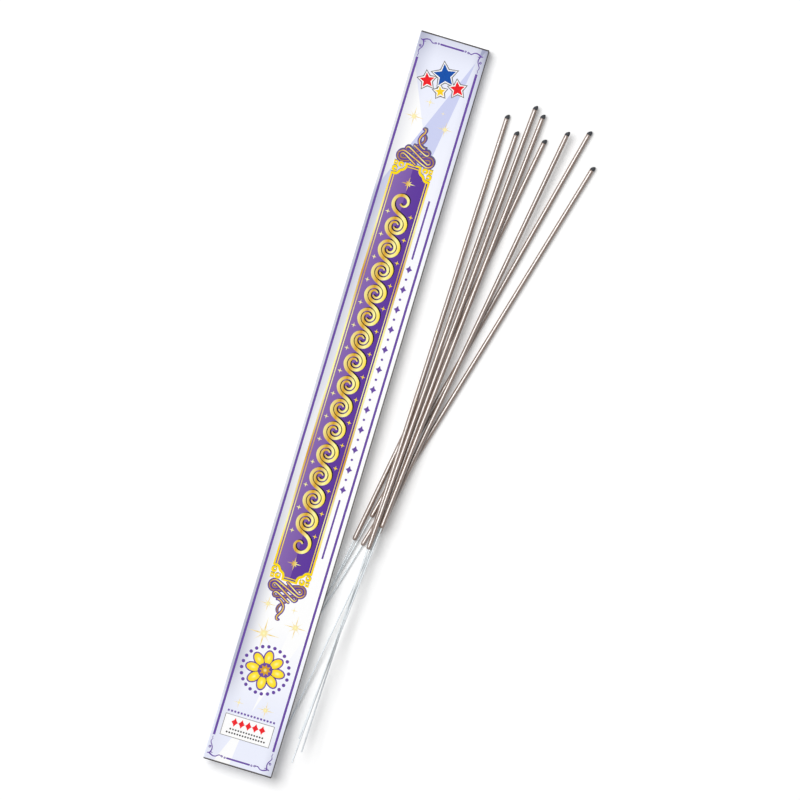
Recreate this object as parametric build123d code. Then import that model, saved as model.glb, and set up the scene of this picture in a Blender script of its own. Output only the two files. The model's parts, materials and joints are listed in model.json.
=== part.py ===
from build123d import *
import os
from math import asin, atan, cos, degrees, radians, sin, sqrt

# A set of eight hand-held sparklers fanned out beside their printed carton.
# Millimetres. +Y runs along the carton to its top end, +X to the fan, +Z up from the table.

# Carton, a tuck-end box of folded card
CARTON_LENGTH = 575.0
CARTON_WIDTH = 54.0
CARTON_DEPTH = 9.5
CARD = 0.45                 # thickness of the card
CREASE_RADIUS = 0.8         # outside radius of a long crease
FOLD_GAP = 0.12             # clearance at each folded joint
LID_SIDE_GAP = 0.3          # the lid is narrower than the carton by this on each side
TUCK_SEAT = 0.35            # clearance between the closed tongue and the back panel
TUCK_SWEEP_GAP = 0.12       # clearance left as the tongue swings past the back panel
TONGUE_LENGTH = 6.0
TONGUE_SIDE_GAP = 0.6       # tongue to side panel
TONGUE_CORNER = 2.5         # rounding of the tongue's free corners
DUST_FLAP_LENGTH = 7.5
DUST_FLAP_GAP = 0.3         # dust flap to front panel, and to the tongue's path
DUST_FLAP_MITRE_FRONT = 0.42   # taper of the flap's front edge, rise per length
DUST_FLAP_MITRE_BACK = 0.25    # taper of its back edge
GLUE_FLAP_SETBACK = 12.0    # glue flap stops this far short of the side panel's ends
GLUE_FLAP_MARGIN = 0.6      # glue flap to front and back panels

# Sparkler: a bare wire handle, a hard coating cast on the wire, a dipped ignition tip
SPARKLER_LENGTH = 508.0     # overall, tip to handle end
COATED_LENGTH = 337.0       # tip included
COATING_DIAMETER = 3.7
WIRE_DIAMETER = 1.2
TIP_LENGTH = 3.6
TIP_ROUNDING = 1.5          # rounded end of the ignition tip
COATING_SHOULDER = 1.1      # rounded lower end of the coating
WIRE_COVER = 5.0            # coating beyond the buried end of the wire
BORE_CLEARANCE = 0.02       # wire to coating, on the radius
COATING_DENSITY = 2.6       # grams per cubic centimetre
STEEL_DENSITY = 7.85

# Where each sparkler lies: its tip to the right of the carton's edge, its tip above the carton's
# middle, and its lean away from the carton in degrees
SPARKLER_1_RIGHT = 27.3
SPARKLER_1_UP = 245.8
SPARKLER_1_LEAN_DEGREES = 1.25
SPARKLER_2_RIGHT = 37.7
SPARKLER_2_UP = 235.8
SPARKLER_2_LEAN_DEGREES = 2.95
SPARKLER_3_RIGHT = 46.0
SPARKLER_3_UP = 258.3
SPARKLER_3_LEAN_DEGREES = 3.75
SPARKLER_4_RIGHT = 53.3
SPARKLER_4_UP = 253.6
SPARKLER_4_LEAN_DEGREES = 4.75
SPARKLER_5_RIGHT = 59.9
SPARKLER_5_UP = 235.9
SPARKLER_5_LEAN_DEGREES = 8.85
SPARKLER_6_RIGHT = 74.9
SPARKLER_6_UP = 246.3
SPARKLER_6_LEAN_DEGREES = 8.6
SPARKLER_7_RIGHT = 91.1
SPARKLER_7_UP = 251.8
SPARKLER_7_LEAN_DEGREES = 12.95
SPARKLER_8_RIGHT = 101.2
SPARKLER_8_UP = 226.6
SPARKLER_8_LEAN_DEGREES = 14.8

# The order in which they are laid, the lowest first
FAN = [
    (8, SPARKLER_8_RIGHT, SPARKLER_8_UP, SPARKLER_8_LEAN_DEGREES),
    (7, SPARKLER_7_RIGHT, SPARKLER_7_UP, SPARKLER_7_LEAN_DEGREES),
    (6, SPARKLER_6_RIGHT, SPARKLER_6_UP, SPARKLER_6_LEAN_DEGREES),
    (5, SPARKLER_5_RIGHT, SPARKLER_5_UP, SPARKLER_5_LEAN_DEGREES),
    (3, SPARKLER_3_RIGHT, SPARKLER_3_UP, SPARKLER_3_LEAN_DEGREES),
    (1, SPARKLER_1_RIGHT, SPARKLER_1_UP, SPARKLER_1_LEAN_DEGREES),
    (4, SPARKLER_4_RIGHT, SPARKLER_4_UP, SPARKLER_4_LEAN_DEGREES),
    (2, SPARKLER_2_RIGHT, SPARKLER_2_UP, SPARKLER_2_LEAN_DEGREES),
]
REST_GAP = 0.2              # air left between pieces that lie on each other
LAY_STEP = 2.0              # spacing of the points at which crossings are tested

coating_radius = COATING_DIAMETER / 2
wire_radius = WIRE_DIAMETER / 2


# Laying the fan
def radius_at(along):
    """Radius of a sparkler at a distance from its tip."""
    return coating_radius if along <= COATED_LENGTH else wire_radius


def balance_point():
    """Distance from the tip to the point where a sparkler balances."""
    coating = COATING_DENSITY * (coating_radius**2 - wire_radius**2) * COATED_LENGTH
    wire = STEEL_DENSITY * wire_radius**2 * SPARKLER_LENGTH
    return (coating * COATED_LENGTH + wire * SPARKLER_LENGTH) / 2 / (coating + wire)


def rest_line(supports, balance):
    """Height at the tip and slope of a rod held up by supports on both sides of its balance."""
    before = [point for point in supports if point[0] <= balance]
    after = [point for point in supports if point[0] > balance]
    best_height = 0.0
    best_line = (0.0, 0.0)
    for near, near_height in before:
        for far, far_height in after:
            slope = (far_height - near_height) / (far - near)
            height = near_height + slope * (balance - near)
            if height > best_height:
                best_height = height
                best_line = (height - slope * balance, slope)
    return best_line


def lay_fan():
    """Lay the sparklers one on another; each gets its tip, its heading and its line's height."""
    balance = balance_point()
    steps = int(SPARKLER_LENGTH / LAY_STEP)
    laid = {}
    for number, tip_right, tip_up, lean in FAN:
        tip_x = CARTON_WIDTH / 2 + tip_right
        run_x = -sin(radians(lean))
        run_y = -cos(radians(lean))
        supports = [(0.0, coating_radius), (COATED_LENGTH, coating_radius)]
        supports.append((SPARKLER_LENGTH, wire_radius))
        for under in laid.values():
            for step in range(steps + 1):
                along = step * LAY_STEP
                off_x = tip_x + run_x * along - under["x"]
                off_y = tip_up + run_y * along - under["y"]
                under_along = off_x * under["run_x"] + off_y * under["run_y"]
                aside = abs(off_x * under["run_y"] - off_y * under["run_x"])
                reach = radius_at(along) + radius_at(under_along) + REST_GAP
                if aside < reach and 0 <= under_along <= SPARKLER_LENGTH + reach:
                    under_height = under["z"] + under["slope"] * under_along
                    supports.append((along, under_height + sqrt(reach**2 - aside**2)))
        tip_z, slope = rest_line(supports, balance)
        laid[number] = dict(x=tip_x, y=tip_up, z=tip_z, run_x=run_x, run_y=run_y, slope=slope)
    return laid


def carton_pitch(laid):
    """Angle at which the carton, its top end on the table, clears the handles that lie under it."""
    steepest = 0.0
    for rod in laid.values():
        for step in range(int(SPARKLER_LENGTH / LAY_STEP) + 1):
            along = min(step * LAY_STEP, SPARKLER_LENGTH)
            x = rod["x"] + rod["run_x"] * along
            y = rod["y"] + rod["run_y"] * along
            clear = radius_at(along) + REST_GAP
            if abs(x) < CARTON_WIDTH / 2 + clear and abs(y) < CARTON_LENGTH / 2:
                height = rod["z"] + rod["slope"] * along + clear
                steepest = max(steepest, height / (CARTON_LENGTH / 2 - y))
    return degrees(atan(steepest))


# Carton pieces, in the carton's own frame: back face on z = 0, middle of its length at y = 0
front_length = CARTON_LENGTH - 2 * (CARD + FOLD_GAP)
side_length = front_length - 2 * (CARD + 2 * FOLD_GAP)
hinge_y = front_length / 2
lid_inside = hinge_y + FOLD_GAP
lid_bottom = CARD + TUCK_SEAT
tongue_drop = CARTON_DEPTH - lid_bottom
sweep_radius = CARTON_DEPTH - CARD - TUCK_SWEEP_GAP
slant_rise = TONGUE_LENGTH**2 + tongue_drop**2 - sweep_radius**2
tongue_slant = asin(slant_rise / (2 * tongue_drop * TONGUE_LENGTH))
tongue_width = CARTON_WIDTH - 2 * (CARD + TONGUE_SIDE_GAP)
flap_front = CARTON_DEPTH - CARD - DUST_FLAP_GAP
flap_back = CARTON_DEPTH - tongue_drop * cos(tongue_slant) + CARD + DUST_FLAP_GAP
flap_y = side_length / 2 + FOLD_GAP


def carton_panels():
    """The four long panels: a rounded tube parted along the bisectors of its corners."""
    wide = CARTON_WIDTH / 2
    deep = CARTON_DEPTH / 2
    outside = RectangleRounded(CARTON_WIDTH, CARTON_DEPTH, CREASE_RADIUS)
    inside = RectangleRounded(CARTON_WIDTH - 2 * CARD, CARTON_DEPTH - 2 * CARD, CREASE_RADIUS - CARD)
    ring = outside - inside
    sectors = {
        "front_panel": ([(-wide, deep), (wide, deep), (wide - deep, 0), (deep - wide, 0)], front_length),
        "back_panel": ([(-wide, -deep), (wide, -deep), (wide - deep, 0), (deep - wide, 0)], CARTON_LENGTH),
        "right_panel": ([(wide, deep), (wide, -deep), (wide - deep, 0)], side_length),
        "left_panel": ([(-wide, deep), (-wide, -deep), (deep - wide, 0)], side_length),
    }
    section = Plane(origin=(0, 0, deep), x_dir=(1, 0, 0), z_dir=(0, -1, 0))
    panels = {}
    for name, (corners, length) in sectors.items():
        outline = ring & make_face(Polyline(*corners, close=True))
        panels[name] = extrude(section * outline, amount=length / 2, both=True)
    return panels


def glue_flap():
    """Strip glued to the inside of the left panel, which closes the tube."""
    height = CARTON_DEPTH - 2 * (CARD + GLUE_FLAP_MARGIN)
    strip = Box(CARD, side_length - 2 * GLUE_FLAP_SETBACK, height)
    return Pos(1.5 * CARD - CARTON_WIDTH / 2, 0, CARTON_DEPTH / 2) * strip


def lid_panel():
    """Panel that closes the top end, hung from the front panel's edge."""
    panel = Box(CARTON_WIDTH - 2 * LID_SIDE_GAP, CARD, tongue_drop)
    return Pos(0, lid_inside + CARD / 2, CARTON_DEPTH - tongue_drop / 2) * panel


def tuck_tongue():
    """Tongue on the lid's free edge, slanted inwards so that it swings past the back panel."""
    tip_y = lid_inside - TONGUE_LENGTH * cos(tongue_slant)
    tip_z = lid_bottom + TONGUE_LENGTH * sin(tongue_slant)
    thick = CARD / cos(tongue_slant)
    profile = Polyline(
        (lid_inside, lid_bottom), (lid_inside, lid_bottom + thick),
        (tip_y, tip_z + thick), (tip_y, tip_z), close=True)
    side = Plane(origin=(0, 0, 0), x_dir=(0, 1, 0), z_dir=(1, 0, 0))
    plate = extrude(side * make_face(profile), amount=tongue_width / 2, both=True)
    outline = Pos(0, (lid_inside + tip_y) / 2) * Rectangle(tongue_width, lid_inside - tip_y)
    outline = fillet(outline.vertices().group_by(Axis.Y)[0], TONGUE_CORNER)
    return plate & extrude(outline, amount=CARTON_DEPTH)


def dust_flap():
    """Flap on the end of the right panel, folded in behind the lid."""
    edge = CARTON_WIDTH / 2
    front_drop = DUST_FLAP_MITRE_FRONT * DUST_FLAP_LENGTH
    back_rise = DUST_FLAP_MITRE_BACK * DUST_FLAP_LENGTH
    outline = Polyline(
        (edge, flap_back), (edge, flap_front),
        (edge - DUST_FLAP_LENGTH, flap_front - front_drop),
        (edge - DUST_FLAP_LENGTH, flap_back + back_rise), close=True)
    section = Plane(origin=(0, flap_y, 0), x_dir=(1, 0, 0), z_dir=(0, -1, 0))
    return extrude(section * make_face(outline), amount=-CARD)


def carton_pieces():
    """Every piece of the carton, with both ends' lids, tongues and dust flaps."""
    pieces = carton_panels()
    pieces["glue_flap"] = glue_flap()
    end_pieces = {"lid": lid_panel(), "tuck_tongue": tuck_tongue(), "right_dust_flap": dust_flap()}
    end_pieces["left_dust_flap"] = mirror(end_pieces["right_dust_flap"], about=Plane.YZ)
    for name, piece in end_pieces.items():
        pieces["top_" + name] = piece
        pieces["bottom_" + name] = mirror(piece, about=Plane.XZ)
    return pieces


# Sparkler pieces, on the Z axis with the tip's end at the origin and the handle below it
def sparkler_pieces():
    """Wire, coating and ignition tip of one sparkler."""
    wire_top = TIP_LENGTH + WIRE_COVER
    wire_length = SPARKLER_LENGTH - wire_top
    below = (Align.CENTER, Align.CENTER, Align.MAX)
    wire = Pos(0, 0, -wire_top) * Cylinder(wire_radius, wire_length, align=below)
    coating_length = COATED_LENGTH - TIP_LENGTH
    coating = Pos(0, 0, -TIP_LENGTH) * Cylinder(coating_radius, coating_length, align=below)
    coating = fillet(coating.edges().group_by(Axis.Z)[0], COATING_SHOULDER)
    bore = Cylinder(wire_radius + BORE_CLEARANCE, wire_length + BORE_CLEARANCE, align=below)
    coating -= Pos(0, 0, BORE_CLEARANCE - wire_top) * bore
    tip = Cylinder(coating_radius, TIP_LENGTH, align=below)
    tip = fillet(tip.edges().group_by(Axis.Z)[-1], TIP_ROUNDING)
    return {"wire": wire, "coating": coating, "tip": tip}


# The set, with its origin on the table in the middle of its footprint
laid_fan = lay_fan()
pitch = carton_pitch(laid_fan)
carton_place = Location((0, 0, CARTON_LENGTH / 2 * sin(radians(pitch))), (-pitch, 0, 0))
nodes = {name: carton_place * piece for name, piece in carton_pieces().items()}
one_sparkler = sparkler_pieces()
for number, rod in sorted(laid_fan.items()):
    tip_point = (rod["x"], rod["y"], rod["z"])
    rod_place = Plane(origin=tip_point, z_dir=(-rod["run_x"], -rod["run_y"], -rod["slope"])).location
    for name, piece in one_sparkler.items():
        nodes[f"sparkler_{number}_{name}"] = rod_place * piece

boxes = [piece.bounding_box() for piece in nodes.values()]
middle_x = (min(box.min.X for box in boxes) + max(box.max.X for box in boxes)) / 2
middle_y = (min(box.min.Y for box in boxes) + max(box.max.Y for box in boxes)) / 2
table_z = min(box.min.Z for box in boxes)
origin_shift = Pos(-middle_x, -middle_y, -table_z)
os.makedirs("parts", exist_ok=True)
for name, piece in nodes.items():
    export_step(origin_shift * piece, f"parts/{name}.step")

for number, rod in sorted(laid_fan.items()):
    end_height = rod["z"] + rod["slope"] * SPARKLER_LENGTH
    print(f"sparkler {number}: tip height {rod['z']:.2f}, handle end height {end_height:.2f}")
print(f"carton pitch {pitch:.3f} degrees, tongue slant {degrees(tongue_slant):.1f} degrees")
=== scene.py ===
import json
from math import cos, hypot, pi, radians, sin, tau

import bmesh
import bpy
from bpy.props import FloatProperty, FloatVectorProperty, PointerProperty
from mathutils import Matrix, Vector, noise


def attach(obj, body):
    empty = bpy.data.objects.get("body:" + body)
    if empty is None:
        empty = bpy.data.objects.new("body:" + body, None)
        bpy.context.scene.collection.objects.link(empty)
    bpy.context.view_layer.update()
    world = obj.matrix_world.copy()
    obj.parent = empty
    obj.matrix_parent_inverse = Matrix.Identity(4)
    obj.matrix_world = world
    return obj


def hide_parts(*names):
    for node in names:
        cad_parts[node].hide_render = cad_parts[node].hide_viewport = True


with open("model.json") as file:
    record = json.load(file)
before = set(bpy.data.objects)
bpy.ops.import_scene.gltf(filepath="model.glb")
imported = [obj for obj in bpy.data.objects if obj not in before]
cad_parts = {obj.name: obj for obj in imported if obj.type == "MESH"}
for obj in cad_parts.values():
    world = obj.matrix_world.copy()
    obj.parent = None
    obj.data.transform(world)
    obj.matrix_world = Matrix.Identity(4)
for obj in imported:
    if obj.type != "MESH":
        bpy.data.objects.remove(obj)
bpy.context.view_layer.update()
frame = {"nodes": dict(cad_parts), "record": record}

bl_info = {
    "name": "Sparkler set",
    "version": (1, 0, 0),
    "blender": (4, 5, 0),
    "location": "View3D > Sidebar > Sparklers",
    "description": "Prints the carton, coats the sparklers and lights the set",
    "category": "Object",
}

MM = 0.001
FACE = next(mount for mount in frame["record"]["mounts"] if mount["name"] == "printed_face")
FACE_PLACE = Vector(FACE["pos_m"])
SPARKLERS = range(1, 9)

# The print's layout in millimetres from the middle of the carton's face, x across and y to its top.
# Each print lies a little above the one under it, so that the inks cover each other cleanly.
INK_HEIGHT = 0.015
INK_STEP = 0.03
BORDER_MIDDLE = (-0.8, -0.55)
BORDER_HALF = (23.4, 281.85)
FIELD_MIDDLE = (-3.0, 23.25)
FIELD_HALF = (14.7, 164.15)
# Middles of the two arcs that notch a corner of the field, measured inwards from that corner
SIDE_NOTCH = (1.9, 6.0)
SIDE_RADIUS = 3.4
END_NOTCH = (5.5, 2.0)
END_RADIUS = 3.8
SCROLL_FIRST = 158.0
SCROLL_PITCH = 18.0
SCROLL_COUNT = 15
# The knots: name, way up, height of the foot on the face, and stretch along the face
KNOTS = (("upper", 1, 188.3, 0.965), ("lower", -1, -142.0, 1.0))
KNOT_BAND = 2.65
KNOT_LINE = 0.9
# Where each printed shadow lies from what casts it, across and up
GOLD_DROP = (0.0, 0.55)
SCROLL_DROP = (0.75, 0.7)
KNOT_DROP = (0.35, 0.75)
RULE_X = 16.1
RULE_WIDTH = 1.4
RULE_ENDS = ((165.0, 119.0), (-71.0, -117.5))
LOZENGE_FIRST = 111.0
LOZENGE_RUN = 174.0
LOZENGE_COUNT = 23
DASH_Y = -246.9
DASH_SIZE = 1.5
DASH_PITCH = 2.55
DASH_COUNT = 15
ROSETTE_MIDDLE = (-1.0, -210.5)
CREST_MIDDLE = (0.0, 257.0)
LABEL_MIDDLE = (-0.9, -257.9)
LABEL_HALF = (19.1, 8.2)

# Painted shade towards the face's edges. Along the left and right edge its depth is a share of full shade
# for each height on the face; an edge's shade starts at one distance across and is full at another.
FACE_REACH = 290.0
LEFT_SHADE = (
    (-290, 0.1), (-240, 0.2), (-212, 0.76), (-180, 0.8), (-90, 0.55), (-30, 0.36), (60, 0.56),
    (120, 0.7), (155, 0.7), (175, 0.42), (225, 0.33), (290, 0.55))
RIGHT_SHADE = (
    (-290, 0.45), (-268, 0.36), (-240, 0.0), (125, 0.0), (150, 0.2), (215, 0.23), (240, 0.34),
    (270, 0.6), (290, 0.75))
EDGE_SHADES = ((-10.0, -28.0, LEFT_SHADE), (16.0, 28.5, RIGHT_SHADE))
TOP_SHADE = (264.0, 292.0)
TOP_DEPTH = 0.3
# The printed rays of light: share that is left at a ray's faint end, and half the width of its soft edge
RAY_LEAST = 0.15
RAY_SOFT = 0.15
# Painted shade on the end creases and the right crease, dark as rubbed board: distance from the middle
# along and across, and height from the face
CREASE_SHADE_END = (286.2, 286.7)
CREASE_SHADE_SIDE = (26.0, 26.5)
CREASE_SHADE_HEIGHT = (-0.95, -0.75)

# The stage: middle of the picture, and way to the main lamp over the table
VIEW_MIDDLE = Vector((-13.38, 14.65, 8.0)) * MM
LAMP_HEADING = Vector((-0.909, 0.417, 0)).normalized()
# The table: half its side in metres, millimetres that it lies lower than what rests on it, whiteness, and
# light that is added where it is looked at
TABLE_HALF = 40.0
TABLE_DROP = 0.02
TABLE_WHITE = 0.88
TABLE_LIFT = 0.17


def linear(hex_colour):
    """An sRGB hex colour as linear red, green, blue and alpha."""
    channels = [int(hex_colour[i:i + 2], 16) / 255 for i in (1, 3, 5)]
    return [c / 12.92 if c <= 0.04045 else ((c + 0.055) / 1.055) ** 2.4 for c in channels] + [1.0]


def colour_property(name, description, hex_colour):
    """A colour that the user can change."""
    return FloatVectorProperty(
        name=name, description=description, subtype="COLOR", size=4, min=0, max=1,
        default=linear(hex_colour))


def length_property(name, description, millimetres):
    """A length that the user can change."""
    return FloatProperty(name=name, description=description, unit="LENGTH", default=millimetres * MM)


class CartonPrintSettings(bpy.types.PropertyGroup):
    """Inks and line widths of the carton's print."""

    card: colour_property("Card", "Printed ground of the card", "#ECEFFD")
    card_white: colour_property("White", "Unprinted white of the card", "#FEFEFE")
    # Painted shade: the soft grey laid towards the face's edges
    card_shade: colour_property("Shade", "Soft grey towards the card's edges", "#9A9DB6")
    # Painted shade for the right and end creases, in the colour of rubbed board
    crease: colour_property("Crease", "Board that shows where a crease is rubbed", "#4E4844")
    border_ink: colour_property("Border", "Ink of the border and the small ornaments", "#6B4BA3")
    knot_ink: colour_property("Knots", "Ink under the gold line of the knots", "#64459A")
    field_light: colour_property("Field, light half", "Left half of the long field", "#8868AF")
    field_dark: colour_property("Field, dark half", "Right half of the long field", "#5C369B")
    gold_shadow: colour_property("Gold's shadow", "Printed shadow of the field's gold", "#77767F")
    gold_bright: colour_property("Bright gold", "Yellow of the gold ink", "#FFDC00")
    gold_deep: colour_property("Deep gold", "Darkest tone of the gold ink", "#D8A21E")
    gold_pale: colour_property("Pale gold", "Lightest tone of the gold ink", "#FFF9A6")
    border_width: length_property("Border line", "Width of the border's long lines", 1.75)
    frame_width: length_property("Frame line", "Width of the long field's gold frame", 1.95)
    scroll_width: length_property("Scroll line", "Widest part of the running scroll", 2.6)


class SparklerSettings(bpy.types.PropertyGroup):
    """Sizes and colours of the sparklers."""

    length: length_property("Length", "Tip to the handle's end", 508)
    coated: length_property("Coated length", "Coating with its ignition tip", 337)
    coating_radius: length_property("Coating radius", "Radius of the coating", 1.85)
    wire_radius: length_property("Wire radius", "Radius of the wire", 0.6)
    tip: length_property("Tip", "Length of the dipped ignition tip", 3.6)
    swell: length_property("Swell", "Unevenness of the hand-dipped coating", 0.03)
    grain: length_property("Grain", "Size of the metal grains in the coating", 0.35)
    coating: colour_property("Coating", "Dried mixture of the coating", "#80624F")
    primer: colour_property("Tip", "Dried primer of the ignition tip", "#3E4044")
    wire: colour_property("Wire", "Drawn steel of the handle", "#E8EDF0")


class StageSettings(bpy.types.PropertyGroup):
    """Camera, floor and light."""

    view_width: length_property("View width", "Width of the picture on the table", 605.8)
    turn: FloatProperty(
        name="Turn", description="Turn of the camera about the view", subtype="ANGLE",
        default=radians(16.7))
    lens: FloatProperty(name="Lens", description="Focal length", subtype="DISTANCE_CAMERA", default=300)
    key_size: length_property("Key size", "Diameter of the main lamp", 8800)
    key_reach: length_property("Key reach", "Distance of the main lamp", 12000)
    key_height: FloatProperty(
        name="Key height", description="Main lamp above the horizon", subtype="ANGLE",
        default=radians(61))
    key_power: FloatProperty(name="Key power", description="Main lamp", unit="POWER", default=1290)
    fill: FloatProperty(name="Fill", description="Strength of the light all round", default=0.3, min=0)


# Helpers shared by the pieces
def set_inputs(tree, node, inputs):
    """Set or link a node's inputs; a node among their values is linked by its first output in use."""
    for name, value in inputs.items():
        if isinstance(value, bpy.types.Node):
            value = next(socket for socket in value.outputs if socket.enabled)
        if isinstance(value, bpy.types.NodeSocket):
            tree.links.new(value, node.inputs[name])
        else:
            node.inputs[name].default_value = value


def add_node(tree, kind, inputs, stops=(), **settings):
    """Add a shader node with its inputs, the stops of its colour ramp and its other settings."""
    node = tree.nodes.new("ShaderNode" + kind)
    for name, value in settings.items():
        setattr(node, name, value)
    set_inputs(tree, node, inputs)
    for index, (position, colour) in enumerate(stops):
        ends = node.color_ramp.elements
        stop = ends[index] if index < 2 else ends.new(position)
        stop.position = position
        stop.color = colour
    return node


def start_material(name, constants):
    """A node material; the constants are set on its shader's own sockets."""
    material = bpy.data.materials.new(name)
    material.use_nodes = True
    shader = material.node_tree.nodes["Principled BSDF"]
    set_inputs(material.node_tree, shader, constants)
    return material, material.node_tree, shader


def toned(colour, share):
    """A colour made darker or lighter."""
    return [min(1.0, share * channel) for channel in colour[:3]] + [1.0]


def mottle(tree, shader, place, size, detail, stops=(), strength=0.0, depth=0.0):
    """Make a surface uneven in patches of a real size: in colour by the stops, in height by the depth.

    The place and the size are in the same unit. Returns the node of the patches.
    """
    patches = add_node(tree, "TexNoise", {"Vector": place, "Scale": 1 / size, "Detail": detail})
    if stops:
        tone = add_node(tree, "ValToRGB", {"Fac": patches}, stops)
        set_inputs(tree, shader, {"Base Color": tone})
    if depth:
        bump = add_node(tree, "Bump", {"Height": patches, "Strength": strength, "Distance": depth})
        set_inputs(tree, shader, {"Normal": bump})
    return patches


def face_position(tree):
    """The node that gives the position on the carton's face in millimetres."""
    place = add_node(tree, "TexCoord", {}).outputs["Object"]
    scale = (1 / MM, 1 / MM, 1 / MM)
    return add_node(tree, "Mapping", {"Vector": place, "Location": -FACE_PLACE / MM, "Scale": scale})


def face_matrix():
    """From millimetres on the carton's face to the frame."""
    up = Vector(FACE["axis"]).normalized()
    across = Vector((1, 0, 0))
    matrix = Matrix((across, up.cross(across), up)).transposed().to_4x4()
    matrix.translation = FACE_PLACE
    return matrix @ Matrix.Scale(MM, 4)


def mesh_object(bm, name, material):
    """Make a bmesh into an object of the scene."""
    mesh = bpy.data.meshes.new(name)
    bm.to_mesh(mesh)
    bm.free()
    mesh.materials.append(material)
    made = bpy.data.objects.new(name, mesh)
    bpy.context.scene.collection.objects.link(made)
    return made


def finish_piece(bm, name, material, body, place, smooth=False):
    """Make a bmesh into a piece that rides on a body."""
    bmesh.ops.transform(bm, matrix=place, verts=bm.verts)
    bmesh.ops.recalc_face_normals(bm, faces=bm.faces)
    for face in bm.faces:
        face.smooth = smooth
    piece = mesh_object(bm, name, material)
    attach(piece, body)
    return piece


def dress(node, material):
    """Give a node of the CAD its material."""
    slots = frame["nodes"][node].data.materials
    slots.clear()
    slots.append(material)


def printed(bm, name, material, place=Matrix()):
    """A print on the carton, with its place on the face in millimetres."""
    finish_piece(bm, name, material, "carton", face_matrix() @ place)


def moved(place):
    """The matrix that moves a print to a place on the face."""
    return Matrix.Translation((*place, 0))


def panel_print(outline):
    """A flat panel of ink inside an outline."""
    bm = bmesh.new()
    bm.faces.new([bm.verts.new((x, y, INK_HEIGHT)) for x, y in outline])
    return bm


def stroke_print(paths, layer, smooth=True, closed=False):
    """Flat strokes of ink: each path has its points and a width, or a width for each point."""
    curve = bpy.data.curves.new("strokes", "CURVE")
    curve.dimensions = "3D"
    # At this depth a point's radius is the stroke's whole width
    curve.bevel_depth = 0.5
    curve.bevel_resolution = 0
    curve.resolution_u = 5
    curve.use_fill_caps = True
    for points, width in paths:
        widths = width if isinstance(width, list) else [width] * len(points)
        spline = curve.splines.new("NURBS" if smooth else "POLY")
        spline.points.add(len(points) - 1)
        for knot, (x, y), wide in zip(spline.points, points, widths):
            knot.co = (x, y, 0, 1)
            knot.radius = wide
        spline.use_cyclic_u = closed
        if smooth:
            spline.order_u = 4
            spline.use_endpoint_u = not closed
    holder = bpy.data.objects.new("strokes", curve)
    bm = bmesh.new()
    mesh = bpy.data.meshes.new_from_object(holder)
    bm.from_mesh(mesh)
    bpy.data.objects.remove(holder)
    bpy.data.curves.remove(curve)
    bpy.data.meshes.remove(mesh)
    flatten = INK_HEIGHT / max(vert.co.z for vert in bm.verts)
    bmesh.ops.scale(bm, vec=(1, 1, flatten), verts=bm.verts)
    bmesh.ops.translate(bm, vec=(0, 0, INK_HEIGHT + layer * INK_STEP), verts=bm.verts)
    return bm


def four_corners(strokes, half):
    """Strokes measured inwards from a corner, drawn at all four corners of a panel of this half size."""
    wide, tall = half
    placed = []
    for right in (-1, 1):
        for upper in (-1, 1):
            for points, width in strokes:
                placed.append(([(right * (wide - u), upper * (tall - v)) for u, v in points], width))
    return placed


def add_star(bm, middle, radii, points, layer, turn=0.0, squeeze=1.0):
    """A flat star whose outline goes through the radii in turn."""
    glow = bm.verts.layers.float.get("glow") or bm.verts.layers.float.new("glow")
    made = bmesh.ops.create_circle(
        bm, cap_ends=True, cap_tris=True, segments=points * len(radii), radius=1.0)
    rim = [vert for vert in made["verts"] if vert.co.length > 0.5]
    core = [vert for vert in made["verts"] if vert.co.length <= 0.5]
    for vert in core:
        vert[glow] = 1.0
    for index, vert in enumerate(rim):
        radius = radii[index % len(radii)]
        vert[glow] = 0.75 * (1 - radius / max(radii))
        vert.co *= radius
    bmesh.ops.scale(bm, vec=(squeeze, 1, 1), verts=made["verts"])
    bmesh.ops.rotate(bm, matrix=Matrix.Rotation(turn, 3, "Z"), verts=made["verts"])
    height = INK_HEIGHT + layer * INK_STEP
    bmesh.ops.translate(bm, vec=(*middle, height), verts=made["verts"])


def curl(middle, radius, turns, start, taper=0.3):
    """Points of a scroll that winds inwards from its outer end, ten to a turn."""
    count = int(abs(turns) * 10)
    points = []
    for step in range(count + 1):
        share = step / count
        angle = start + tau * turns * share
        reach = radius * (1 - (1 - taper) * share)
        points.append((middle[0] + reach * cos(angle), middle[1] + reach * sin(angle)))
    return points


def swelling(points, ends, rise):
    """Widths of a stroke that is thin at its ends and thickest half way."""
    count = len(points) - 1
    return [ends + rise * sin(pi * step / count) for step in range(count + 1)]


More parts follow.
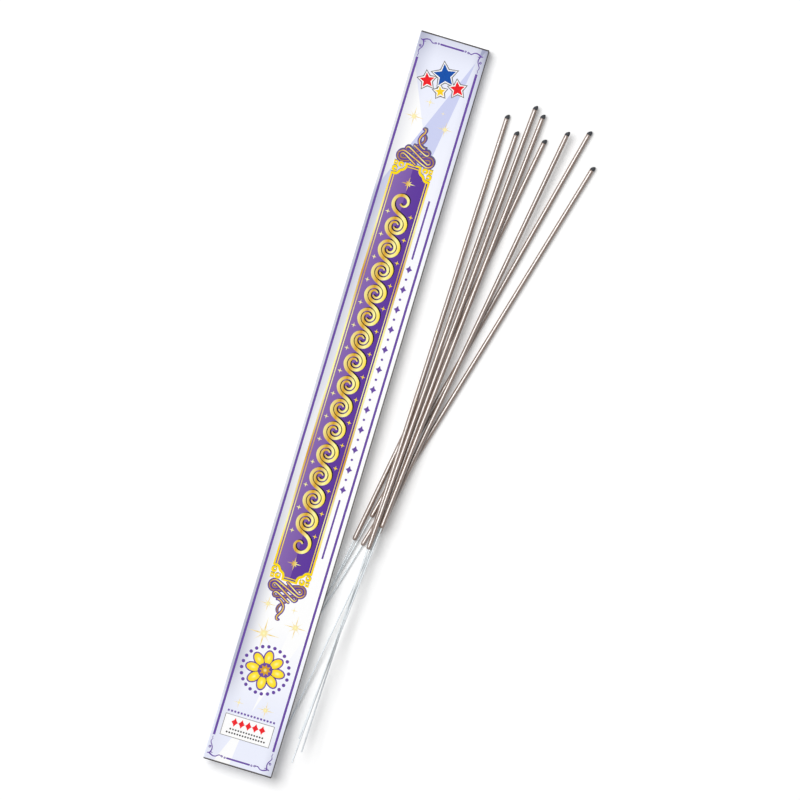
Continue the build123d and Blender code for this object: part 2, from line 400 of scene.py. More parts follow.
# Materials of the carton
def card_material(name, settings, rays):
    """Folding boxboard, printed and varnished: a smooth satin face with faint fibre under the ink."""
    material, tree, shader = start_material(name, {"Roughness": 0.46, "Specular IOR Level": 0.15})
    place = face_position(tree)
    split = add_node(tree, "SeparateXYZ", {"Vector": place})
    across = split.outputs["X"]
    along = split.outputs["Y"]
    # The ground is lavender at both ends and nearly white beside the lower half of the field
    spread = add_node(tree, "MapRange", {"Value": along, "From Min": -FACE_REACH, "From Max": FACE_REACH})
    colour = add_node(
        tree, "ValToRGB", {"Fac": spread},
        [(0.0, settings.card), (1.0, settings.card), (0.2, settings.card_white),
         (0.62, settings.card_white), (0.08, settings.card), (0.92, settings.card)])
    for tint, edges, (dim, bright) in rays:
        inside = add_node(
            tree, "MapRange",
            {"Value": along, "From Min": dim, "From Max": bright, "To Min": RAY_LEAST})
        for (x1, y1), (x2, y2) in edges:
            length = hypot(x2 - x1, y2 - y1)
            normal = ((y2 - y1) / length, (x1 - x2) / length, 0)
            reach = normal[0] * x1 + normal[1] * y1
            side = add_node(tree, "VectorMath", {0: place, 1: normal}, operation="DOT_PRODUCT")
            mask = add_node(
                tree, "MapRange",
                {"Value": side, "From Min": reach - RAY_SOFT, "From Max": reach + RAY_SOFT})
            inside = add_node(tree, "Math", {0: inside, 1: mask}, operation="MULTIPLY")
        colour = add_node(tree, "Mix", {"Factor": inside, 6: colour, 7: tint}, data_type="RGBA")
    # Painted shade: a soft grey runs down the left edge, round the top corners and into the lower right one
    shade = add_node(
        tree, "MapRange",
        {"Value": along, "From Min": TOP_SHADE[0], "From Max": TOP_SHADE[1], "To Max": TOP_DEPTH},
        interpolation_type="SMOOTHSTEP")
    for inner, outer, depths in EDGE_SHADES:
        edge = add_node(
            tree, "MapRange", {"Value": across, "From Min": inner, "From Max": outer},
            interpolation_type="SMOOTHSTEP")
        stops = [((y + FACE_REACH) / (2 * FACE_REACH), (depth, depth, depth, 1)) for y, depth in depths]
        profile = add_node(tree, "ValToRGB", {"Fac": spread}, [stops[0], stops[-1], *stops[1:-1]])
        shade = add_node(
            tree, "Math", {0: edge, 1: profile, 2: shade}, operation="MULTIPLY_ADD", use_clamp=True)
    colour = add_node(tree, "Mix", {"Factor": shade, 6: colour, 7: settings.card_shade}, data_type="RGBA")
    # Painted shade: the right crease and the end creases are darkened to the colour of bare board, as if
    # the print were rubbed off
    height = add_node(tree, "VectorMath", {0: place, 1: FACE["axis"]}, operation="DOT_PRODUCT")
    endwards = add_node(tree, "Math", {0: along}, operation="ABSOLUTE")
    crease_shade_masks = []
    for value, (start, full) in ((height, CREASE_SHADE_HEIGHT), (endwards, CREASE_SHADE_END), (across, CREASE_SHADE_SIDE)):
        crease_shade_masks.append(add_node(tree, "MapRange", {"Value": value, "From Min": start, "From Max": full}))
    on_crease, end_crease, right_crease = crease_shade_masks
    crease = add_node(tree, "Math", {0: end_crease, 1: right_crease}, operation="MAXIMUM")
    crease_shade = add_node(tree, "Math", {0: crease, 1: on_crease}, operation="MULTIPLY")
    colour = add_node(tree, "Mix", {"Factor": crease_shade, 6: colour, 7: settings.crease}, data_type="RGBA")
    set_inputs(tree, shader, {"Base Color": colour})
    # Fibres of about 0.2 mm under the varnish
    mottle(tree, shader, place, 0.2, 3.0, strength=0.06, depth=0.02 * MM)
    return material


def light_rays(settings):
    """The printed rays of light: a tint, two edges, and the heights where the ray is faint and full.

    An edge has the ray on its right side as it runs from its first point to its second.
    """
    deep = linear("#CBD0F1")
    corner = linear("#A9AFD0")
    white = settings.card_white
    even = (-2 * FACE_REACH, -FACE_REACH)
    return [
        (white, [((-27.5, 269.5), (-4.6, 216.5)), ((-18.6, 182.0), (-27.5, 163.0))], even),
        (deep, [((19.6, 275.5), (7.3, 190.0)), ((-15.2, 190.0), (19.6, 275.5))], (140.0, 190.0)),
        (corner, [((20.3, 276.5), (21.6, 287.5)), ((25.4, 287.5), (20.3, 276.5))], even),
        (white, [((-2.4, -246.0), (-6.6, -287.0)), ((-19.0, -287.0), (-2.0, -246.0))], even),
        (white, [((-2.0, -246.0), (0.4, -230.0)), ((3.1, -230.0), (-2.4, -246.0))], even),
    ]


def plain_board_material():
    """Uncoated reverse of the boxboard: matt, warm grey, with visible recycled fibre."""
    material, tree, shader = start_material("uncoated_board", {"Roughness": 0.9, "IOR": 1.45})
    stops = [(0.3, linear("#C9C3B6")), (0.7, linear("#E2DED3"))]
    # Fibres and specks of about half a millimetre
    mottle(tree, shader, face_position(tree), 0.5, 6.0, stops, strength=0.25, depth=0.05 * MM)
    return material


def ink_material(name, colour, uneven=0.1):
    """Offset ink under varnish: satin, with the slight mottle of ink on board."""
    material, tree, shader = start_material(name, {"Roughness": 0.42, "Specular IOR Level": 0.1})
    stops = [(0.35, toned(colour, 1 - uneven)), (0.65, toned(colour, 1 + uneven))]
    # Mottle of about 1.5 mm
    mottle(tree, shader, face_position(tree), 1.5, 4.0, stops)
    return material


def gradient_ink_material(name, axis, low, high, stops):
    """Offset ink whose tone changes along one axis of the carton's face, given in millimetres."""
    material, tree, shader = start_material(name, {"Roughness": 0.4, "Specular IOR Level": 0.1})
    split = add_node(tree, "SeparateXYZ", {"Vector": face_position(tree)})
    share = add_node(tree, "MapRange", {"Value": split.outputs[axis], "From Min": low, "From Max": high})
    placed = [((position - low) / (high - low), colour) for position, colour in stops]
    tone = add_node(tree, "ValToRGB", {"Fac": share}, placed)
    set_inputs(tree, shader, {"Base Color": tone})
    return material


def gold_frame_material(settings):
    """Gold printed in process yellow, blended from bright to deep and pale along the carton."""
    bright = settings.gold_bright
    deep = settings.gold_deep
    pale = settings.gold_pale
    return gradient_ink_material(
        "gold_ink_lengthwise", "Y", -200.0, 220.0,
        [(-118.0, bright), (176.0, bright), (-96.0, pale), (-42.0, deep), (10.0, pale), (58.0, pale),
         (100.0, deep), (142.0, pale)])


def glow_ink_material(name, tip, middle, core):
    """Pale gold ink that fades from a star's core to the ends of its rays."""
    material, tree, shader = start_material(name, {"Roughness": 0.42, "Specular IOR Level": 0.1})
    glow = add_node(tree, "Attribute", {}, attribute_name="glow").outputs["Fac"]
    tone = add_node(tree, "ValToRGB", {"Fac": glow}, [(0.0, tip), (1.0, core), (0.6, middle)])
    set_inputs(tree, shader, {"Base Color": tone})
    return material


# Materials of the sparklers
def coating_material(settings):
    """Dried sparkler mixture: grey-brown and satin, with fine metal grains that catch the light."""
    # Metal dust lies in its skin, which therefore reflects far more than a varnish would
    material, tree, shader = start_material("sparkler_mixture", {"Roughness": 0.38, "IOR": 3.4})
    place = add_node(tree, "TexCoord", {}).outputs["Object"]
    grain = mottle(tree, shader, place, settings.grain, 3.0, strength=0.07, depth=0.05 * MM)
    # Paler and darker patches of about 12 mm, where the dip ran thinner or thicker
    patch = mottle(tree, shader, place, 12 * MM, 2.0)
    both = add_node(tree, "Math", {0: grain, 1: patch}, operation="ADD")
    half = add_node(tree, "Math", {0: both, 1: 0.5}, operation="MULTIPLY")
    stops = [(0.36, toned(settings.coating, 0.82)), (0.64, toned(settings.coating, 1.12))]
    tone = add_node(tree, "ValToRGB", {"Fac": half}, stops)
    set_inputs(tree, shader, {"Base Color": tone})
    return material


def primer_material(settings):
    """Dried ignition primer: dark, matt and slightly rough."""
    material, tree, shader = start_material(
        "ignition_primer", {"Roughness": 0.72, "Specular IOR Level": 0.2})
    place = add_node(tree, "TexCoord", {}).outputs["Object"]
    stops = [(0.35, settings.primer), (0.7, toned(settings.primer, 1.5))]
    mottle(tree, shader, place, settings.grain, 4.0, stops, strength=0.4, depth=0.06 * MM)
    return material


def wire_material(settings):
    """Dry-drawn steel wire: pale metal, dulled by the film of drawing soap that dries on it."""
    material, tree, shader = start_material("drawn_steel_wire", {"Metallic": 0.55})
    place = add_node(tree, "TexCoord", {}).outputs["Object"]
    stops = [(0.35, toned(settings.wire, 0.96)), (0.6, settings.wire)]
    # Dull patches of about 6 mm
    dull = mottle(tree, shader, place, 6 * MM, 4.0, stops)
    rough = add_node(tree, "MapRange", {"Value": dull, "To Min": 0.55, "To Max": 0.65})
    set_inputs(tree, shader, {"Roughness": rough})
    return material


class SPARKLERS_OT_card(bpy.types.Operator):
    """Give the carton's panels and flaps their printed and plain board"""

    bl_idname = "sparklers.card"
    bl_label = "Carton board"

    def execute(self, context):
        settings = context.scene.carton_print
        front = card_material("varnished_face_board", settings, light_rays(settings))
        boards = {
            "printed_card": card_material("varnished_boxboard", settings, []),
            "plain_card": plain_board_material(),
        }
        for row in frame["record"]["subparts"]:
            if row["node"] == "front_panel":
                dress(row["node"], front)
            elif row["material_slot"] in boards:
                dress(row["node"], boards[row["material_slot"]])
        return {"FINISHED"}


class SPARKLERS_OT_border(bpy.types.Operator):
    """Print the border's lines and its four scrolled corners"""

    bl_idname = "sparklers.border"
    bl_label = "Border"

    def execute(self, context):
        settings = context.scene.carton_print
        ink = ink_material("border_ink", settings.border_ink)
        wide, tall = BORDER_HALF
        foot = 14.5 - tall
        head = tall - 14.0
        end_half = 9.3
        line = settings.border_width / MM
        straight = []
        for side in (-1, 1):
            straight.append(([(side * wide, foot), (side * wide, head)], line))
            straight.append(([(-end_half, side * tall), (end_half, side * tall)], 0.75 * line))
        scrolls = four_corners(self.corner(), BORDER_HALF)
        place = moved(BORDER_MIDDLE)
        printed(stroke_print(straight, 0, smooth=False), "border_lines", ink, place)
        printed(stroke_print(scrolls, 0), "border_scrolls", ink, place)
        return {"FINISHED"}

    def corner(self):
        """Strokes of one corner, measured inwards from where the border's lines would meet."""
        top_swing = [
            (0.5, 0.3), (2.4, -0.9), (4.6, -1.5), (6.6, -0.7), (8.0, 1.0), (9.4, 0.6), (10.4, -0.3)]
        side_swing = [
            (0.5, 0.1), (1.6, 1.8), (1.9, 4.3), (1.0, 6.4), (-0.5, 8.2), (-0.8, 9.8), (0.4, 11.6)]
        leaf = [(0.9, 0.9), (2.2, 1.3), (3.0, 0.7)]
        tuft = [(-1.1, -0.1), (-0.2, 0.5), (0.9, 0.2)]
        drop = [(0.1, 11.4), (-0.5, 12.5), (0.0, 13.4)]
        return [
            (top_swing, [1.1, 1.0, 0.8, 0.7, 0.8, 0.7, 0.4]),
            (side_swing, [1.0, 0.9, 0.8, 0.7, 0.7, 0.6, 0.3]),
            (curl((-0.3, 4.9), 1.0, 1.2, 0.4, 0.45), 0.55),
            (curl((10.6, 0.3), 0.8, 1.1, 2.0, 0.45), 0.55),
            (curl((12.8, 0.0), 0.75, 1.1, 3.4, 0.45), 0.5),
            (leaf, [0.6, 0.7, 0.3]),
            (tuft, [0.5, 1.2, 0.6]),
            (drop, [0.3, 0.6, 0.3]),
        ]


class SPARKLERS_OT_field(bpy.types.Operator):
    """Print the long two-tone field with its gold frame and corner scrolls"""

    bl_idname = "sparklers.field"
    bl_label = "Long field"

    def execute(self, context):
        settings = context.scene.carton_print
        place = moved(FIELD_MIDDLE)
        drop = moved(GOLD_DROP) @ place
        fold = FIELD_MIDDLE[0] + 0.1
        field_ink = gradient_ink_material(
            "field_ink", "X", -20.0, 14.0,
            [(-16.0, settings.field_light), (9.5, settings.field_dark),
             (fold - 0.05, linear("#7C59A9")), (fold + 0.05, linear("#613B9B"))])
        gold = gold_frame_material(settings)
        dark = ink_material("gold_shadow_ink", settings.gold_shadow)
        outline = self.outline()
        printed(panel_print(outline), "field", field_ink, place)
        printed(stroke_print(self.inner_lines(), 2, smooth=False), "field_inner_lines", gold, place)
        tile = [(0.0, 0.0), (0.0, 2.4), (2.0, 2.4), (2.0, 0.0)]
        lines = [(outline, settings.frame_width / MM), *four_corners([(tile, 1.5)], FIELD_HALF)]
        scrolls = four_corners(self.corner(), FIELD_HALF)
        printed(stroke_print(lines, 1, smooth=False, closed=True), "field_frame_shadow", dark, drop)
        printed(stroke_print(scrolls, 1), "field_corner_shadow", dark, drop)
        printed(stroke_print(lines, 3, smooth=False, closed=True), "field_frame", gold, place)
        printed(stroke_print(scrolls, 4), "field_corner_scrolls", gold, place)
        return {"FINISHED"}

    def inner_lines(self):
        """Thin lines inside the frame, each ending where a corner's notch starts."""
        wide, tall = FIELD_HALF
        inset = 2.15
        thin = 0.65
        side_end = tall - SIDE_NOTCH[1] - SIDE_RADIUS
        end_half = wide - END_NOTCH[0] - END_RADIUS
        lines = []
        for side in (-1, 1):
            x = side * (wide - inset)
            y = side * (tall - inset)
            lines.append(([(x, -side_end), (x, side_end)], thin))
            lines.append(([(-end_half, y), (end_half, y)], thin))
        return lines

    def outline(self):
        """The field's outline: each corner is notched by two arcs, one round each of its scrolls."""
        wide, tall = FIELD_HALF
        steps = 6
        quarter = [(wide, tall - SIDE_NOTCH[1] - SIDE_RADIUS)]
        arcs = ((SIDE_NOTCH, SIDE_RADIUS, -90, -165), (END_NOTCH, END_RADIUS, -105, -180))
        for (u, v), radius, first, last in arcs:
            for step in range(steps + 1):
                angle = radians(first + (last - first) * step / steps)
                quarter.append((wide - u + radius * cos(angle), tall - v + radius * sin(angle)))
        quarter.append((wide - END_NOTCH[0] - END_RADIUS, tall))
        upper = quarter + [(-x, y) for x, y in reversed(quarter)]
        return upper + [(-x, -y) for x, y in upper]

    def corner(self):
        """Scrolls of one corner, measured inwards from the field's corner."""
        scrolls = []
        for middle, turns, start in (((1.5, 5.8), 0.95, 0.6), ((5.2, 1.8), -0.95, pi / 2 - 0.6)):
            points = curl(middle, 1.85, turns, start, 0.8)
            scrolls.append((points, swelling(points, 0.8, 1.1)))
        return scrolls


class SPARKLERS_OT_running_scroll(bpy.types.Operator):
    """Print the gold running scroll along the field, with its dark shadow"""

    bl_idname = "sparklers.running_scroll"
    bl_label = "Running scroll"

    def execute(self, context):
        settings = context.scene.carton_print
        gold = gradient_ink_material(
            "gold_ink_crosswise", "X", -14.0, 8.0,
            [(-12.5, settings.gold_pale), (6.0, settings.gold_bright), (-5.0, settings.gold_deep),
             (0.5, settings.gold_pale)])
        dark = ink_material("scroll_shadow_ink", linear("#1A1020"))
        middle = FIELD_MIDDLE[0]
        radius = SCROLL_PITCH / 2
        width = settings.scroll_width / MM
        strokes = []
        for index in range(SCROLL_COUNT):
            upper = (middle, SCROLL_FIRST - index * SCROLL_PITCH)
            lower = (middle, upper[1] - SCROLL_PITCH)
            winding = curl(upper, radius, -1.15, -pi / 2, 0.2)
            points = winding[::-1] + curl(lower, radius, -1.15, pi / 2, 0.2)[1:]
            strokes.append((points, swelling(points, 0.4 * width, 0.6 * width)))
        printed(stroke_print(strokes, 3), "running_scroll", gold)
        printed(stroke_print(strokes, 1), "running_scroll_shadow", dark, moved(SCROLL_DROP))
        aside = 9.0
        beyond = 15.0
        stars = bmesh.new()
        for index in range(SCROLL_COUNT):
            for side in (-1, 1):
                spot = (middle + side * aside, SCROLL_FIRST - (index + 0.5) * SCROLL_PITCH)
                add_star(stars, spot, (2.0, 0.55), 4, 2)
        last = SCROLL_FIRST - SCROLL_COUNT * SCROLL_PITCH
        for end in (SCROLL_FIRST + beyond, last - beyond):
            add_star(stars, (middle, end), (5.5, 1.4, 3.0, 1.4), 4, 2)
        printed(stars, "field_stars", gold)
        return {"FINISHED"}


class SPARKLERS_OT_knots(bpy.types.Operator):
    """Print the interlaced knots at both ends of the field"""

    bl_idname = "sparklers.knots"
    bl_label = "Knots"

    def execute(self, context):
        settings = context.scene.carton_print
        ink = ink_material("knot_ink", settings.knot_ink)
        gold = gradient_ink_material(
            "gold_ink_knots", "X", -20.0, 14.0,
            [(-16.0, linear("#D6A614")), (10.0, linear("#F0BC00")), (-9.0, linear("#FFEC6C")),
             (-3.0, linear("#ECBC00")), (3.0, linear("#FFF48C"))])
        dim = ink_material("gold_ink_passing_under", linear("#B0863A"))
        under, over, open_ends = self.strands()
        for name, end, foot, tall in KNOTS:
            place = moved((FIELD_MIDDLE[0], foot)) @ Matrix.Diagonal((-end, end * tall, 1, 1))
            for layer, strands, part, line_ink in ((2, under, "under", dim), (4, over, "over", gold)):
                bands = self.bands(strands)
                lines = []
                for points in strands:
                    lines.append((self.drawn_in(points, open_ends), self.rounded(points, KNOT_LINE)))
                printed(stroke_print(bands, layer), f"{name}_knot_{part}_band", ink, place)
                printed(stroke_print(lines, layer + 1), f"{name}_knot_{part}_line", line_ink, place)
            if name == "upper":
                shadow = ink_material("knot_shadow_ink", linear("#666C70"))
                bands = self.bands(under + over[-1:])
                printed(stroke_print(bands, 1), "upper_knot_shadow", shadow, moved(KNOT_DROP) @ place)
        return {"FINISHED"}

    def bands(self, strands):
        """The broad bands of ink that the gold lines run on."""
        return [(points, self.rounded(points, KNOT_BAND)) for points in strands]

    def rounded(self, points, width):
        """Widths of a strand that narrows at both of its ends."""
        ends = [0.6 * width, 0.92 * width]
        return ends + [width] * (len(points) - 4) + ends[::-1]

    def drawn_in(self, points, open_ends):
        """A strand's gold line, held back where the strand ends in the open, so that ink shows round it."""
        line = list(points)
        for end, inner in ((0, 1), (-1, -2)):
            if points[end] in open_ends:
                line[end] = Vector(points[end]).lerp(points[inner], 0.5)
        return line

    def strands(self):
        """Strands of a knot on the field's end, x across and y away from the field: those that pass
        under, those over them, and the points where a strand ends in the open."""
        # The long strand goes round these eyes, a right and a left one in turn: place, radius and side
        eyes = (
            ((10.1, 4.5), 2.0, 1), ((-9.6, 4.5), 4.3, -1), ((10.1, 4.5), 4.3, 1),
            ((-9.6, 4.5), 1.8, -1), ((7.6, 10.6), 1.8, 1), ((-6.9, 10.8), 1.8, -1),
        )
        runs = [[(-1.5, -0.6), (-0.6, 0.2), (0.4, 0.8), (2.0, 1.8)]]
        for (x, y), radius, side in eyes:
            run = []
            for step in range(8):
                angle = radians(112 - 32 * step)
                run.append((x + side * radius * cos(angle), y + radius * sin(angle)))
            runs.append(run)
        runs.append([(0.6, 12.6), (2.4, 13.7), (3.9, 14.5), (4.9, 14.6)])
        long_strand = [point for run in runs for point in run]
        # It passes over itself on each way to the right, from its start and up to its end too
        over = [left[-4:] + right[:4] for left, right in zip(runs[0::2], runs[1::2])]
        finial = [(-5.8, 14.6), (-3.4, 13.6), (-0.4, 15.4), (1.9, 18.8), (1.3, 22.4), (-0.5, 25.0),
                  (-2.0, 27.5), (-0.6, 29.7), (1.3, 28.3)]
        twin = [(2.2, 14.8), (-1.0, 16.8), (-3.5, 20.2), (-2.5, 23.4), (-0.4, 24.6)]
        open_ends = (long_strand[0], long_strand[-1], finial[0], finial[-1])
        return [long_strand, twin], over + [finial], open_ends


class SPARKLERS_OT_ornaments(bpy.types.Operator):
    """Print the side rules, the row of lozenges, the rosette and the crest of stars"""

    bl_idname = "sparklers.ornaments"
    bl_label = "Ornaments"

    def execute(self, context):
        settings = context.scene.carton_print
        ink = ink_material("ornament_ink", settings.border_ink)
        rules = [([(RULE_X, top), (RULE_X, foot)], RULE_WIDTH) for top, foot in RULE_ENDS]
        for index in range(DASH_COUNT):
            x = LABEL_MIDDLE[0] + DASH_PITCH * (index - (DASH_COUNT - 1) / 2)
            rules.append(([(x - DASH_SIZE / 2, DASH_Y), (x + DASH_SIZE / 2, DASH_Y)], DASH_SIZE))
        printed(stroke_print(rules, 0, smooth=False), "rules", ink)
        lozenges = bmesh.new()
        for index in range(LOZENGE_COUNT):
            spot = (RULE_X, LOZENGE_FIRST - LOZENGE_RUN * index / (LOZENGE_COUNT - 1))
            if index % 2:
                add_star(lozenges, spot, (0.95,), 12, 0)
            else:
                add_star(lozenges, spot, (3.2, 1.7), 4, 0, squeeze=0.8)
        printed(lozenges, "lozenge_row", ink)
        self.label(settings)
        self.rosette(settings, ink)
        self.crest(settings)
        return {"FINISHED"}

    def label(self, settings):
        """A plain white panel in a grey line, with a row of red lozenges over two rows of dots."""
        x, y = LABEL_MIDDLE
        wide, tall = LABEL_HALF
        corners = [
            (x - wide, y - tall), (x + wide, y - tall), (x + wide, y + tall), (x - wide, y + tall)]
        white = ink_material("label_white_ink", settings.card_white, 0.01)
        printed(panel_print(corners), "label_panel", white)
        grey = ink_material("label_line_ink", linear("#7C7A77"))
        printed(stroke_print([(corners, 0.6)], 1, smooth=False, closed=True), "label_line", grey)
        red = bmesh.new()
        lozenge_pitch = 5.4
        lozenge_rise = 3.1
        for index in range(-2, 3):
            spot = (x + lozenge_pitch * index, y + lozenge_rise)
            add_star(red, spot, (3.4, 2.0), 4, 1, squeeze=0.75)
        printed(red, "label_lozenges", ink_material("label_red_ink", linear("#F0242C")))
        dots = bmesh.new()
        dot_pitch = 2.1
        for rise, count in ((-2.4, 13), (-5.2, 15)):
            for index in range(count):
                spot = (x + dot_pitch * (index - (count - 1) / 2), y + rise)
                add_star(dots, spot, (0.72,), 10, 1)
        printed(dots, "label_dots", ink_material("label_dark_ink", linear("#4A4846")))

    def rosette(self, settings, ink):
        """Eight gold petals with purple edges round a small sun, inside a ring of beads."""
        gold = glow_ink_material(
            "rosette_gold_ink", settings.gold_bright, linear("#FFE94A"), settings.gold_pale)
        bronze = glow_ink_material(
            "rosette_bronze_ink", linear("#D89A1C"), settings.gold_deep, settings.gold_pale)
        edges = bmesh.new()
        petals = bmesh.new()
        sun = bmesh.new()
        x, y = ROSETTE_MIDDLE
        petal_count = 8
        petal_reach = 9.6
        bead_count = 24
        bead_reach = 18.0
        for index in range(petal_count):
            angle = tau * index / petal_count
            spot = (x + petal_reach * cos(angle), y + petal_reach * sin(angle))
            add_star(edges, spot, (6.1,), 28, 0, turn=angle - pi / 2, squeeze=0.66)
            add_star(petals, spot, (5.0,), 28, 1, turn=angle - pi / 2, squeeze=0.62)
        for index in range(bead_count):
            angle = tau * (index + 0.5) / bead_count
            add_star(edges, (x + bead_reach * cos(angle), y + bead_reach * sin(angle)), (1.35,), 14, 0)
        add_star(edges, ROSETTE_MIDDLE, (5.6,), 28, 2)
        add_star(sun, ROSETTE_MIDDLE, (4.8, 2.6), 8, 3)
        printed(edges, "rosette_edges", ink)
        printed(petals, "rosette_petals", gold)
        printed(sun, "rosette_sun", bronze)

    def crest(self, settings):
        """Plain stars, each with a white and a grey edge."""
        edge = ink_material("crest_edge_ink", linear("#77736F"))
        white = ink_material("crest_white_ink", settings.card_white, 0.01)
        outer = bmesh.new()
        inner = bmesh.new()
        x, y = CREST_MIDDLE
        stars = (
            ("blue", "#0A4FA8", (x, y + 2.6), 9.0),
            ("red", "#EE1C24", (x - 12.0, y - 4.6), 6.0),
            ("scarlet", "#EE1C24", (x + 12.0, y - 4.6), 6.0),
            ("yellow", "#FFD21E", (x, y - 10.2), 4.2),
        )
        lean = pi / 10
        for name, colour, spot, radius in stars:
            notch = 0.46 * radius
            add_star(outer, spot, (radius + 2.4, notch + 1.9), 5, 0, turn=lean)
            add_star(inner, spot, (radius + 1.3, notch + 1.0), 5, 1, turn=lean)
            star = bmesh.new()
            add_star(star, spot, (radius, notch), 5, 2, turn=lean)
            printed(star, f"crest_star_{name}", ink_material(f"crest_{name}_ink", linear(colour)))
        printed(outer, "crest_grey_edges", edge)
        printed(inner, "crest_white_edges", white)


class SPARKLERS_OT_sparkles(bpy.types.Operator):
    """Print the pale gold four-pointed sparkles"""

    bl_idname = "sparklers.sparkles"
    bl_label = "Sparkles"

    def execute(self, context):
        ray_ink = glow_ink_material(
            "sparkle_ray_ink", linear("#FAECB0"), linear("#EFCE74"), linear("#FFF4A6"))
        core_ink = glow_ink_material(
            "sparkle_core_ink", linear("#FFFBEC"), linear("#FBEAA0"), linear("#FFFDCC"))
        rays = bmesh.new()
        cores = bmesh.new()
        # Place on the face and length of a ray
        small = [(-5.0, 237.0, 4.4), (7.0, 231.4, 2.2), (7.0, -161.0, 3.2), (-13.0, -239.5, 4.4)]
        large = [(-13.6, 223.5, 7.8), (11.7, 220.2, 6.4), (-13.4, -161.5, 6.8), (11.7, -173.3, 9.4),
                 (8.0, -239.5, 7.0), (-10.0, -184.0, 12.8)]
        for x, y, reach in small + large:
            add_star(rays, (x, y), (reach, 0.08 * reach), 4, 0)
        for x, y, reach in large:
            add_star(rays, (x, y), (0.7 * reach, 0.035 * reach), 4, 0, turn=pi / 4)
            add_star(cores, (x, y), (0.36 * reach, 0.17 * reach), 12, 1)
        for x, y, reach in small:
            add_star(cores, (x, y), (0.34 * reach, 0.2 * reach), 8, 1)
        printed(rays, "sparkle_rays", ray_ink)
        printed(cores, "sparkle_cores", core_ink)
        return {"FINISHED"}


class SPARKLERS_OT_rods(bpy.types.Operator):
    """Model the dipped coatings and tips, and finish the wires"""

    bl_idname = "sparklers.rods"
    bl_label = "Sparklers"

    def execute(self, context):
        settings = context.scene.sparkler
        coating = coating_material(settings)
        primer = primer_material(settings)
        steel = wire_material(settings)
        for number in SPARKLERS:
            name = f"sparkler_{number}"
            place = self.axis(number)
            body = self.turned(self.coating_profile(settings), settings, number)
            piece = finish_piece(
                body, name + "_dipped_coating", coating, name, place, smooth=True)
            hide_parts(name + "_coating")
            end = self.turned(self.tip_profile(settings), settings, number)
            self.lean_tip(end, settings)
            piece = finish_piece(
                end, name + "_dipped_tip", primer, name, place, smooth=True)
            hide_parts(name + "_tip")
            dress(name + "_wire", steel)
        return {"FINISHED"}

    def axis(self, number):
        """Place of a sparkler: its handle's end at the origin and its axis to the tip along z."""
        wire = frame["nodes"][f"sparkler_{number}_wire"]
        points = {tuple(round(c, 7) for c in vert.co) for vert in wire.data.vertices}
        middle = sum(point[1] for point in points) / len(points)
        rings = ([], [])
        for point in points:
            rings[point[1] > middle].append(Vector(point))
        handle, top = (sum(ring, Vector()) / len(ring) for ring in rings)
        turn = (top - handle).to_track_quat("Z", "Y").to_matrix().to_4x4()
        return Matrix.Translation(handle) @ turn

    def coating_profile(self, settings):
        """Distance along the sparkler and radius, from the drip at the handle to the tip."""
        start = settings.length - settings.coated
        end = settings.length - settings.tip
        full = settings.coating_radius
        # The drip: millimetres from its start, and share of the full radius
        drip = ((0.15, 0.62), (0.5, 0.82), (1.2, 0.95), (2.4, 1.0))
        profile = [(start, settings.wire_radius)]
        profile += [(start + along * MM, share * full) for along, share in drip]
        count = 140
        first = start + 4.0 * MM
        for step in range(count + 1):
            profile.append((first + (end - first) * step / (count + 1), full))
        # A last ring close to the end keeps the shading of the side off the flat end
        return profile + [(end - 0.05 * MM, full), (end, 0.98 * full), (end, 0.0)]

    def tip_profile(self, settings):
        """The ignition tip: a collar where the dip stopped, then a long pointed end."""
        start = settings.length - settings.tip
        full = settings.coating_radius
        collar = 0.6 * MM
        taper = settings.tip - collar
        profile = [(start, 0.0), (start, 0.97 * full), (start + 0.1 * MM, 1.02 * full)]
        steps = 12
        for step in range(steps):
            share = step / steps
            profile.append((start + collar + taper * share, full * (1 - share ** 2) ** 0.7))
        return profile + [(settings.length, 0.0)]

    def lean_tip(self, bm, settings):
        """Let the point of a tip run off to the right, as the dip dried on the slant."""
        start = settings.length - settings.tip
        lean = 0.9 * MM
        for vert in bm.verts:
            share = (vert.co.z - start) / settings.tip
            vert.co.x -= lean * share ** 2

    def turned(self, profile, settings, number):
        """Spin a profile round the axis and let its surface swell a little."""
        # Waves of the swell in a metre, round the rod and along it, and how far apart the rods' waves are
        waves_round = 250
        waves_along = 130
        apart = 17
        bm = bmesh.new()
        verts = [bm.verts.new((radius, 0, along)) for along, radius in profile]
        for first, second in zip(verts, verts[1:]):
            bm.edges.new((first, second))
        bmesh.ops.spin(
            bm, geom=bm.verts[:] + bm.edges[:], axis=(0, 0, 1), cent=(0, 0, 0), angle=tau, steps=20,
            use_merge=True)
        bmesh.ops.remove_doubles(bm, verts=bm.verts, dist=0.001 * MM)
        # Close to the axis, at the wire and at the point of the tip, the surface stays as it is
        for vert in bm.verts:
            x, y, z = vert.co
            reach = hypot(x, y)
            if reach > 0.6 * settings.coating_radius:
                spot = Vector((x * waves_round, y * waves_round, z * waves_along + apart * number))
                share = 1 + settings.swell * noise.noise(spot) / reach
                vert.co.x *= share
                vert.co.y *= share
        return bm


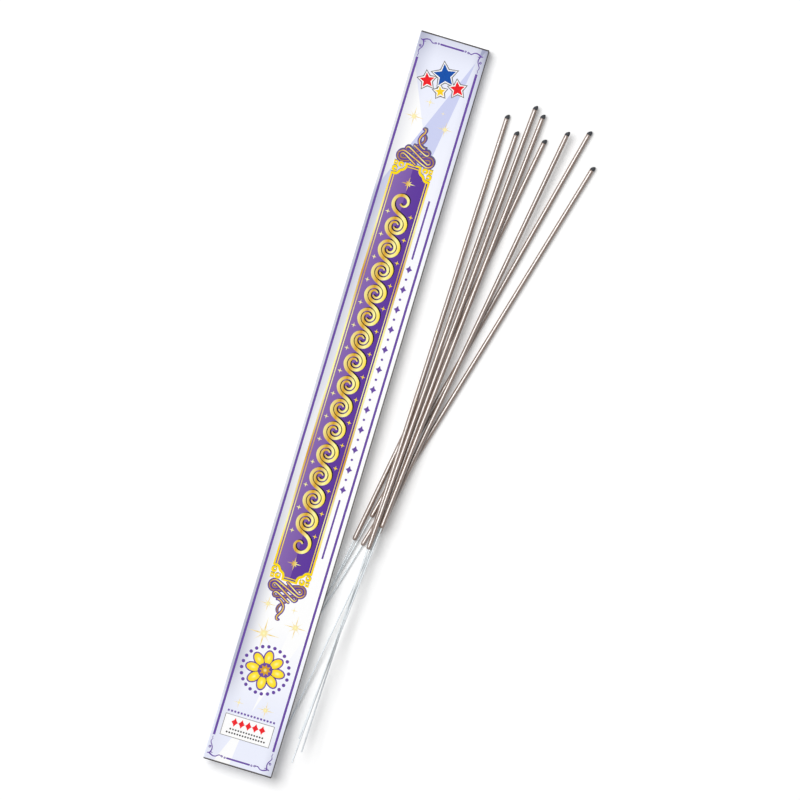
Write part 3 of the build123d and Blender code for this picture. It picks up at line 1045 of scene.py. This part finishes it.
class SPARKLERS_OT_stage(bpy.types.Operator):
    """Set up the white table, the soft light and the camera above"""

    bl_idname = "sparklers.stage"
    bl_label = "Stage"

    def execute(self, context):
        settings = context.scene.sparkler_stage
        scene = context.scene
        bm = bmesh.new()
        bmesh.ops.create_grid(bm, x_segments=1, y_segments=1, size=TABLE_HALF)
        bmesh.ops.translate(bm, vec=(0, 0, -TABLE_DROP * MM), verts=bm.verts)
        table = mesh_object(bm, "table", self.table_material())
        lamp = bpy.data.lights.new("soft_key", "AREA")
        lamp.shape = "DISK"
        lamp.size = settings.key_size
        lamp.energy = settings.key_power
        key = bpy.data.objects.new("soft_key", lamp)
        upwards = Vector((0, 0, sin(settings.key_height)))
        direction = LAMP_HEADING * cos(settings.key_height) + upwards
        key.location = VIEW_MIDDLE + direction * settings.key_reach
        key.rotation_euler = direction.to_track_quat("Z", "Y").to_euler()
        scene.collection.objects.link(key)
        world = bpy.data.worlds.new("white_room")
        world.use_nodes = True
        background = world.node_tree.nodes["Background"]
        set_inputs(world.node_tree, background, {"Color": (1, 1, 1, 1), "Strength": settings.fill})
        scene.world = world
        camera = bpy.data.cameras.new("camera")
        camera.lens = settings.lens
        camera.sensor_width = 36.0
        rise = settings.view_width * settings.lens / camera.sensor_width
        eye = bpy.data.objects.new("camera", camera)
        eye.location = VIEW_MIDDLE + Vector((0, 0, rise))
        eye.rotation_euler = (0, 0, settings.turn)
        scene.collection.objects.link(eye)
        scene.camera = eye
        scene.view_settings.view_transform = "Standard"
        return {"FINISHED"}

    def table_material(self):
        """White table: a matt white sheet that reads as pure white to the camera and keeps the shadows."""
        material = bpy.data.materials.new("white_table")
        material.use_nodes = True
        tree = material.node_tree
        tree.nodes.clear()
        # The lift shows where the camera, a reflection or glass looks at the table
        path = add_node(tree, "LightPath", {})
        seen = path.outputs["Is Camera Ray"]
        for ray in ("Is Glossy Ray", "Is Transmission Ray"):
            seen = add_node(tree, "Math", {0: seen, 1: path.outputs[ray]}, operation="MAXIMUM")
        lift = add_node(tree, "MapRange", {"Value": seen, "To Max": TABLE_LIFT})
        white = (TABLE_WHITE, TABLE_WHITE, TABLE_WHITE, 1)
        matt = add_node(tree, "BsdfDiffuse", {"Color": white})
        glow = add_node(tree, "Emission", {"Strength": lift})
        both = add_node(tree, "AddShader", {0: matt, 1: glow})
        add_node(tree, "OutputMaterial", {"Surface": both})
        return material


OPERATORS = (
    SPARKLERS_OT_card,
    SPARKLERS_OT_border,
    SPARKLERS_OT_field,
    SPARKLERS_OT_running_scroll,
    SPARKLERS_OT_knots,
    SPARKLERS_OT_ornaments,
    SPARKLERS_OT_sparkles,
    SPARKLERS_OT_rods,
    SPARKLERS_OT_stage,
)


class SPARKLERS_PT_panel(bpy.types.Panel):
    """Lists the set's pieces in the sidebar"""

    bl_idname = "SPARKLERS_PT_panel"
    bl_label = "Sparkler set"
    bl_space_type = "VIEW_3D"
    bl_region_type = "UI"
    bl_category = "Sparklers"

    def draw(self, context):
        for operator in OPERATORS:
            self.layout.operator(operator.bl_idname)
        for group in (context.scene.carton_print, context.scene.sparkler, context.scene.sparkler_stage):
            for name in group.bl_rna.properties.keys():
                if name not in ("rna_type", "name"):
                    self.layout.prop(group, name)


CLASSES = (CartonPrintSettings, SparklerSettings, StageSettings, *OPERATORS, SPARKLERS_PT_panel)


def register():
    """Add the settings, the operators and the panel."""
    for item in CLASSES:
        bpy.utils.register_class(item)
    bpy.types.Scene.carton_print = PointerProperty(type=CartonPrintSettings)
    bpy.types.Scene.sparkler = PointerProperty(type=SparklerSettings)
    bpy.types.Scene.sparkler_stage = PointerProperty(type=StageSettings)


def unregister():
    """Take them away again."""
    del bpy.types.Scene.sparkler_stage
    del bpy.types.Scene.sparkler
    del bpy.types.Scene.carton_print
    for item in reversed(CLASSES):
        bpy.utils.unregister_class(item)


def main():
    """Dress the set."""
    register()
    bpy.ops.sparklers.card()
    bpy.ops.sparklers.border()
    bpy.ops.sparklers.field()
    bpy.ops.sparklers.running_scroll()
    bpy.ops.sparklers.knots()
    bpy.ops.sparklers.ornaments()
    bpy.ops.sparklers.sparkles()
    bpy.ops.sparklers.rods()
    bpy.ops.sparklers.stage()
    bpy.context.view_layer.update()


if __name__ == "__main__":
    main()
